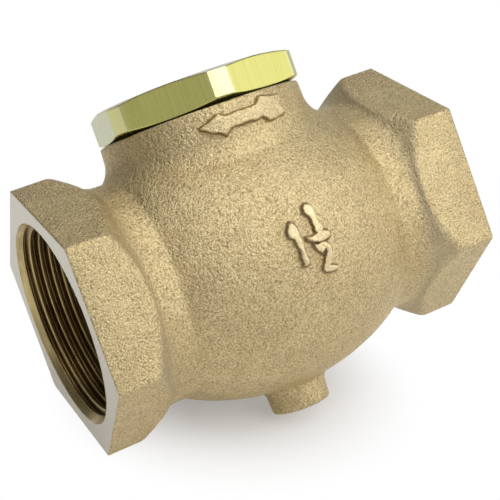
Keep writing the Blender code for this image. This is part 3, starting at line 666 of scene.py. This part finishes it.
class Surface:
    """A procedural material: its node tree, its shader, and short ways to add nodes to it."""

    def __init__(self, name, metallic):
        self.material = bpy.data.materials.new(name)
        self.material.use_nodes = True
        self.tree = self.material.node_tree
        self.shader = self.tree.nodes["Principled BSDF"]
        self.shader.inputs["Metallic"].default_value = metallic
        place = self.tree.nodes.new("ShaderNodeTexCoord")
        self.place = place.outputs["Object"]
        self.facing = place.outputs["Normal"]

    def add(self, kind, inputs, output=0, **settings):
        """A new node with its inputs linked or set, by name or number; returns one output."""
        node = self.tree.nodes.new(kind)
        for key, value in settings.items():
            setattr(node, key, value)
        for key, value in inputs.items():
            if isinstance(value, bpy.types.NodeSocket):
                self.tree.links.new(value, node.inputs[key])
            else:
                node.inputs[key].default_value = value
        return node.outputs[output]

    def noise(self, size, detail=2.0, roughness=0.5, place=None):
        """Noise whose lumps are about size across, in metres."""
        inputs = {"Vector": place or self.place, "Scale": 1 / size, "Detail": detail, "Roughness": roughness}
        return self.add("ShaderNodeTexNoise", inputs, "Fac")

    def spots(self, size):
        """Distance to the nearest of scattered points about size apart, 0 at a point."""
        return self.add("ShaderNodeTexVoronoi", {"Vector": self.place, "Scale": 1 / size}, "Distance")

    def spread(self, value, low, high, out_low=0.0, out_high=1.0, smooth=False):
        """A value's range from low to high, mapped to another range and held there."""
        return self.add("ShaderNodeMapRange", {"Value": value, "From Min": low, "From Max": high,
                                               "To Min": out_low, "To Max": out_high}, "Result",
                        interpolation_type="SMOOTHSTEP" if smooth else "LINEAR")

    def math(self, operation, a, b=0.0):
        """One sum on one or two values."""
        return self.add("ShaderNodeMath", {0: a, 1: b}, operation=operation)

    def mix(self, share, a, b):
        """Colour a turning to colour b by a share."""
        inputs = {0: share}
        for slot, colour in ((6, a), (7, b)):
            inputs[slot] = colour if isinstance(colour, bpy.types.NodeSocket) else (*colour, 1)
        return self.add("ShaderNodeMix", inputs, 2, data_type="RGBA")

    def squeezed(self, x, y, z):
        """The place, with each axis scaled, so that noise read there is stretched."""
        return self.add("ShaderNodeVectorMath", {0: self.place, 1: (x, y, z)}, operation="MULTIPLY")

    def axis(self, name):
        """One coordinate of the place."""
        return self.add("ShaderNodeSeparateXYZ", {0: self.place}, name)

    def faces(self, name):
        """How far the surface faces along one axis."""
        return self.add("ShaderNodeSeparateXYZ", {0: self.facing}, name)

    def from_axis(self, flat):
        """Distance from an axis, as the length of the place with one coordinate flattened."""
        return self.add("ShaderNodeVectorMath", {0: self.squeezed(*flat)}, "Value", operation="LENGTH")

    def rings(self, distance, pitch):
        """Uneven turned rings, as noise that changes with one distance only."""
        line = self.add("ShaderNodeCombineXYZ", {0: distance})
        return self.noise(pitch, 2.0, 0.6, line)

    def finish(self, colour, roughness, height, depth):
        """Link the colour, the roughness and a bump of some depth in metres; returns the material."""
        bump = self.add("ShaderNodeBump", {"Height": height, "Distance": depth, "Strength": 1.0})
        for name, value in (("Base Color", colour), ("Roughness", roughness), ("Normal", bump)):
            self.tree.links.new(value, self.shader.inputs[name])
        return self.material


# Scaling a place by one of these leaves its distance from X, or from Z
ROUND_X = (0, 1, 1)
ROUND_Z = (1, 1, 0)
BUMP_OF_WORN = 0.5             # how much of the bump stays on worn mark tops
PAINTED_SHADE_REACH = 1.4 * HEX_WIDTH   # how far in from the end faces the painted shade, greyer and darker, behind the hexagons reaches


def cast_bronze():
    """Shot-blasted sand casting, with its end faces and its neck's rim cut bright."""
    s = Surface("cast_bronze", 1.0)
    grain = s.noise(0.00040, 3.0, 0.6)
    coarse = s.noise(0.0011, 2.0, 0.5)
    mottle = s.noise(0.0045, 3.0, 0.55)
    patch = s.noise(0.022, 2.0, 0.5)
    pits = s.spread(s.spots(0.0012), 0.14, 0.34)
    lumps = s.math("ADD", grain, s.math("MULTIPLY", coarse, 0.7))
    height = s.math("ADD", lumps, s.math("MULTIPLY", pits, 0.35))
    tone = s.mix(s.spread(patch, 0.38, 0.62, smooth=True), (0.64, 0.51, 0.27), (0.69, 0.56, 0.30))
    tone = s.mix(s.spread(mottle, 0.35, 0.68), tone, (0.58, 0.455, 0.245))
    tone = s.mix(s.spread(grain, 0.50, 0.38, 0, 0.60), tone, (0.25, 0.18, 0.09))
    tone = s.mix(s.spread(grain, 0.52, 0.64, 0, 0.70), tone, (0.84, 0.71, 0.45))
    tone = s.mix(s.math("SUBTRACT", 0.3, s.math("MULTIPLY", pits, 0.3)), tone, (0.26, 0.19, 0.10))
    rough = s.spread(coarse, 0.3, 0.7, 0.42, 0.58)
    rise = s.add("ShaderNodeAttribute", {}, "Fac", attribute_name=RISE)
    # painted shade: the sloping walls of each raised mark are darkened, standing in for their shade and
    # shadow
    painted_wall_shade = s.math("MULTIPLY", s.spread(rise, 0.05, 0.30), s.spread(rise, 0.60, 0.85, 1, 0))
    tone = s.mix(s.math("MULTIPLY", painted_wall_shade, 0.65), tone, (0.19, 0.135, 0.07))
    worn = s.spread(rise, 0.80, 0.97)
    tone = s.mix(s.math("MULTIPLY", worn, 0.6), tone, (0.80, 0.69, 0.43))
    height = s.math("MULTIPLY", height, s.spread(worn, 0, 1, 1, BUMP_OF_WORN))
    # painted shade: surfaces behind each hexagon that turn in towards the globe are greyed and darkened
    inward = s.math("MULTIPLY", s.faces("X"), s.math("SIGN", s.axis("X")))
    behind = s.math("GREATER_THAN", s.math("ABSOLUTE", s.axis("X")), HALF_LENGTH - PAINTED_SHADE_REACH)
    behind = s.math("MULTIPLY", behind, s.spread(inward, -0.15, -0.65, 0, 0.45))
    tone = s.mix(behind, tone, (0.47, 0.41, 0.30))
    ends = s.math("GREATER_THAN", s.math("ABSOLUTE", s.axis("X")), HALF_LENGTH - END_EDGE / 4)
    top = s.math("GREATER_THAN", s.axis("Z"), RIM_HEIGHT - RIM_EDGE / 4)
    cut = s.math("MAXIMUM", ends, top)
    tool = s.rings(s.from_axis(ROUND_X), 0.00035)
    bright = s.mix(s.spread(tool, 0.3, 0.7), (0.66, 0.61, 0.51), (0.80, 0.75, 0.64))
    tone = s.mix(cut, tone, bright)
    rough = s.add("ShaderNodeMix", {0: cut, 2: rough, 3: 0.34})
    height = s.add("ShaderNodeMix", {0: cut, 2: height, 3: s.math("MULTIPLY", tool, 0.05)})
    return s.finish(tone, rough, height, 0.00026)


def cut_thread():
    """The chased thread and the mouth chamfer of a socket."""
    s = Surface("cut_thread", 1.0)
    tool = s.noise(0.0004, 2.0, 0.6, s.squeezed(1, 0.08, 0.08))
    stain = s.noise(0.006, 3.0, 0.6)
    tone = s.mix(s.spread(tool, 0.3, 0.7), (0.50, 0.38, 0.16), (0.68, 0.55, 0.28))
    tone = s.mix(s.spread(stain, 0.45, 0.75, 0, 0.5), tone, (0.40, 0.28, 0.12))
    radius = s.from_axis(ROUND_X)
    inside = s.math("LESS_THAN", s.math("ABSOLUTE", s.axis("X")), HALF_LENGTH - MOUTH_DEPTH)
    # painted shade: away from the mouth, the thread's flanks are darkened towards its roots, leaving the
    # crests bright
    root = s.spread(radius, THREAD_CREST_RADIUS + 0.0001, THREAD_CREST_RADIUS + 0.0005, 0, 0.8)
    tone = s.mix(s.math("MULTIPLY", root, inside), tone, (0.30, 0.21, 0.10))
    rough = s.spread(stain, 0.3, 0.7, 0.24, 0.40)
    return s.finish(tone, rough, tool, 0.00002)


def cap_brass():
    """Yellow-green brass: milled up and down its flats, turned across its top and corners."""
    s = Surface("cap_brass", 1.0)
    milled = s.noise(0.00055, 3.0, 0.6, s.squeezed(1, 1, 0.015))
    turned = s.rings(s.from_axis(ROUND_Z), 0.0003)
    cloud = s.noise(0.007, 2.0, 0.5)
    top = s.spread(s.faces("Z"), 0.8, 0.9)
    marks = s.add("ShaderNodeMix", {0: top, 2: milled, 3: turned})
    tone = s.mix(s.spread(marks, 0.32, 0.68), (0.62, 0.60, 0.175), (0.76, 0.73, 0.25))
    tone = s.mix(s.spread(cloud, 0.4, 0.7, 0, 0.5), tone, (0.70, 0.665, 0.22))
    # the turned corner lands are paler: partly their turned finish, partly a painted highlight
    corner = s.spread(s.from_axis(ROUND_Z), CAP_CORNER_RADIUS - 0.0004, CAP_CORNER_RADIUS - 0.0001)
    tone = s.mix(s.math("MULTIPLY", corner, 0.3), tone, (0.86, 0.84, 0.60))
    # painted reflection: the flat facing -X is paled towards the white backdrop it reflects
    side = s.spread(s.faces("X"), -0.93, -0.98, 0, 0.6)
    tone = s.mix(side, tone, (0.66, 0.68, 0.60))
    # painted highlight: the top and its chamfer are paled towards white
    tone = s.mix(s.math("MULTIPLY", top, 0.8), tone, (0.70, 0.72, 0.66))
    rough = s.spread(marks, 0.25, 0.75, 0.22, 0.36)
    return s.finish(tone, rough, marks, 0.000012)


def turned_brass():
    """Brass turned about the cap's axis."""
    s = Surface("turned_brass", 1.0)
    tool = s.rings(s.math("ADD", s.from_axis(ROUND_Z), s.axis("Z")), 0.00035)
    cloud = s.noise(0.005, 2.0, 0.5)
    tone = s.mix(s.spread(tool, 0.3, 0.7), (0.60, 0.46, 0.20), (0.74, 0.60, 0.30))
    tone = s.mix(s.spread(cloud, 0.45, 0.75, 0, 0.5), tone, (0.55, 0.40, 0.17))
    rough = s.spread(tool, 0.3, 0.7, 0.24, 0.36)
    return s.finish(tone, rough, tool, 0.00002)


def sealing_fibre():
    """Pressed fibre ring."""
    s = Surface("sealing_fibre", 0.0)
    strand = s.noise(0.0005, 4.0, 0.7)
    cloud = s.noise(0.003, 2.0, 0.5)
    tone = s.mix(s.spread(strand, 0.35, 0.65), (0.045, 0.035, 0.03), (0.10, 0.08, 0.065))
    tone = s.mix(s.spread(cloud, 0.45, 0.7, 0, 0.5), tone, (0.06, 0.05, 0.04))
    return s.finish(tone, s.spread(strand, 0.3, 0.7, 0.7, 0.9), strand, 0.00006)


def soft_disc():
    """Pale moulded seat disc."""
    s = Surface("soft_disc", 0.0)
    cloud = s.noise(0.004, 3.0, 0.6)
    fine = s.noise(0.0004, 2.0, 0.5)
    tone = s.mix(s.spread(cloud, 0.35, 0.7), (0.80, 0.79, 0.75), (0.68, 0.66, 0.61))
    return s.finish(tone, s.spread(fine, 0.3, 0.7, 0.40, 0.55), fine, 0.00002)


def stainless_steel():
    """Bright drawn wire of the lock washer."""
    s = Surface("stainless_steel", 1.0)
    drawn = s.rings(s.from_axis(ROUND_Z), 0.0002)
    cloud = s.noise(0.003, 2.0, 0.5)
    tone = s.mix(s.spread(drawn, 0.3, 0.7), (0.50, 0.50, 0.49), (0.66, 0.66, 0.64))
    tone = s.mix(s.spread(cloud, 0.45, 0.75, 0, 0.4), tone, (0.44, 0.44, 0.43))
    return s.finish(tone, s.spread(drawn, 0.3, 0.7, 0.22, 0.34), drawn, 0.00001)


def resting_plane():
    """Normal of the floor that the boss and the outlet hexagon's lower edge both stand on."""
    flat = Vector((0, -HEX_LEAN, math.sqrt(1 - HEX_LEAN ** 2)))
    lean = 0.0
    for _ in range(RESTING_PASSES):
        boss = BOSS_REACH * flat.z + BOSS_RADIUS * math.hypot(lean, flat.y)
        lean = (boss - HEX_APOTHEM) / HALF_LENGTH
    normal = (flat + Vector((lean, 0, 0))).normalized()
    return normal, HALF_LENGTH * normal.x + HEX_APOTHEM * math.hypot(normal.y, normal.z)


def make_floor():
    """Pale floor under the resting valve: white to the camera, with the valve's soft shadow near it."""
    normal, below = resting_plane()
    bpy.ops.mesh.primitive_circle_add(vertices=FLOOR_SIDES, radius=FLOOR_RADIUS, fill_type="NGON")
    floor = bpy.context.object
    floor.name = "floor"
    floor.location = normal * -(below + FLOOR_GAP)
    floor.rotation_euler = normal.to_track_quat("Z", "Y").to_euler()
    material = bpy.data.materials.new("floor")
    material.use_nodes = True
    nodes, links = material.node_tree.nodes, material.node_tree.links
    nodes.clear()
    place = nodes.new("ShaderNodeTexCoord")
    away = nodes.new("ShaderNodeVectorMath")
    away.operation = "LENGTH"
    fade = nodes.new("ShaderNodeMapRange")
    fade.interpolation_type = "SMOOTHSTEP"
    for name, value in (("From Min", FLOOR_FADE_START), ("From Max", FLOOR_FADE_END),
                        ("To Min", FLOOR_WHITE_NEAR), ("To Max", 1.0)):
        fade.inputs[name].default_value = value
    paths = nodes.new("ShaderNodeLightPath")
    in_metal = nodes.new("ShaderNodeValue")
    in_metal.outputs[0].default_value = FLOOR_IN_METAL
    shown = seen_rays(nodes, links, paths, in_metal.outputs[0])
    share = nodes.new("ShaderNodeMath")
    share.operation = "MULTIPLY"
    pale = nodes.new("ShaderNodeBsdfDiffuse")
    pale.inputs["Color"].default_value = (*FLOOR_COLOUR, 1)
    white = nodes.new("ShaderNodeEmission")
    blend = nodes.new("ShaderNodeMixShader")
    clear = nodes.new("ShaderNodeBsdfTransparent")
    back = nodes.new("ShaderNodeNewGeometry")
    sided = nodes.new("ShaderNodeMixShader")
    out = nodes.new("ShaderNodeOutputMaterial")
    links.new(place.outputs["Object"], away.inputs[0])
    links.new(away.outputs["Value"], fade.inputs["Value"])
    links.new(fade.outputs["Result"], share.inputs[0])
    links.new(shown, share.inputs[1])
    links.new(share.outputs[0], blend.inputs[0])
    links.new(pale.outputs[0], blend.inputs[1])
    links.new(white.outputs[0], blend.inputs[2])
    links.new(back.outputs["Backfacing"], sided.inputs[0])
    links.new(blend.outputs[0], sided.inputs[1])
    links.new(clear.outputs[0], sided.inputs[2])
    links.new(sided.outputs[0], out.inputs["Surface"])
    floor.data.materials.append(material)


def seen_rays(nodes, links, paths, in_metal):
    """1 for the camera's rays and those sent on by glass, and in_metal for those sent on by metal."""
    glossy = nodes.new("ShaderNodeMath")
    glossy.operation = "MULTIPLY"
    links.new(paths.outputs["Is Glossy Ray"], glossy.inputs[0])
    links.new(in_metal, glossy.inputs[1])
    total = paths.outputs["Is Camera Ray"]
    for kind in (glossy.outputs[0], paths.outputs["Is Transmission Ray"]):
        add = nodes.new("ShaderNodeMath")
        add.operation = "MAXIMUM"
        links.new(total, add.inputs[0])
        links.new(kind, add.inputs[1])
        total = add.outputs[0]
    return total


def make_world():
    """White background for the rays that show it, and a plain dim room for the others."""
    world = bpy.data.worlds.new("studio")
    world.use_nodes = True
    nodes, links = world.node_tree.nodes, world.node_tree.links
    background = nodes["Background"]
    background.inputs["Color"].default_value = (1, 1, 1, 1)
    place = nodes.new("ShaderNodeTexCoord")
    toward = nodes.new("ShaderNodeVectorMath")
    toward.operation = "DOT_PRODUCT"
    toward.inputs[1].default_value = Vector(BACKDROP_SIDE).normalized()
    backdrop = nodes.new("ShaderNodeMapRange")
    backdrop.interpolation_type = "SMOOTHSTEP"
    backdrop.inputs["From Min"].default_value = BACKDROP_EDGE
    backdrop.inputs["From Max"].default_value = BACKDROP_FULL
    backdrop.inputs["To Max"].default_value = BACKDROP_LEVEL
    level = nodes.new("ShaderNodeMapRange")
    level.inputs["To Min"].default_value = WORLD_LEVEL
    level.inputs["To Max"].default_value = 1.0
    paths = nodes.new("ShaderNodeLightPath")
    links.new(place.outputs["Generated"], toward.inputs[0])
    links.new(toward.outputs["Value"], backdrop.inputs["Value"])
    links.new(seen_rays(nodes, links, paths, backdrop.outputs["Result"]), level.inputs["Value"])
    links.new(level.outputs["Result"], background.inputs["Strength"])
    bpy.context.scene.world = world


def make_light(name, direction, distance, size, power):
    """A square soft box that faces the valve."""
    data = bpy.data.lights.new(name, "AREA")
    data.size = size
    data.energy = power
    light = bpy.data.objects.new(name, data)
    toward = Vector(direction).normalized()
    light.location = toward * distance
    light.rotation_euler = toward.to_track_quat("Z", "Y").to_euler()
    bpy.context.scene.collection.objects.link(light)


def dress(piece, material, slot, *replaced):
    """Give a piece its material, its body and the nodes it stands for."""
    piece.data.materials.clear()
    piece.data.materials.append(material)
    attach(piece, "housing")
    if replaced:
        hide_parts(*replaced)


cast = cast_bronze()
thread = cut_thread()
dress(make_casting(), cast, "cast_bronze", "body")
dress(make_liner("inlet_thread", 1), thread, "cast_bronze")
dress(make_liner("outlet_thread", -1), thread, "cast_bronze")
figures = raised_mark("size_mark", size_mark, *SIZE_MARK_BOX)
dress(figures, cast, "cast_bronze")
arrow = raised_mark("flow_arrow", flow_arrow, *ARROW_BOX, ARROW_RISE)
dress(arrow, cast, "cast_bronze")
dress(make_cap(), cap_brass(), "cap_brass", "cap")
turned = turned_brass()
for node, material in (("seat_ring", turned), ("disc_holder", turned), ("disc_plate", turned),
                       ("disc_nut", turned), ("cap_seal", sealing_fibre()), ("seat_disc", soft_disc()),
                       ("lock_washer", stainless_steel())):
    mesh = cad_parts[node].data
    mesh.materials.clear()
    mesh.materials.append(material)
make_camera()
make_floor()
make_world()
for light in LIGHTS:
    make_light(*light)
bpy.context.scene.view_settings.view_transform = "Standard"
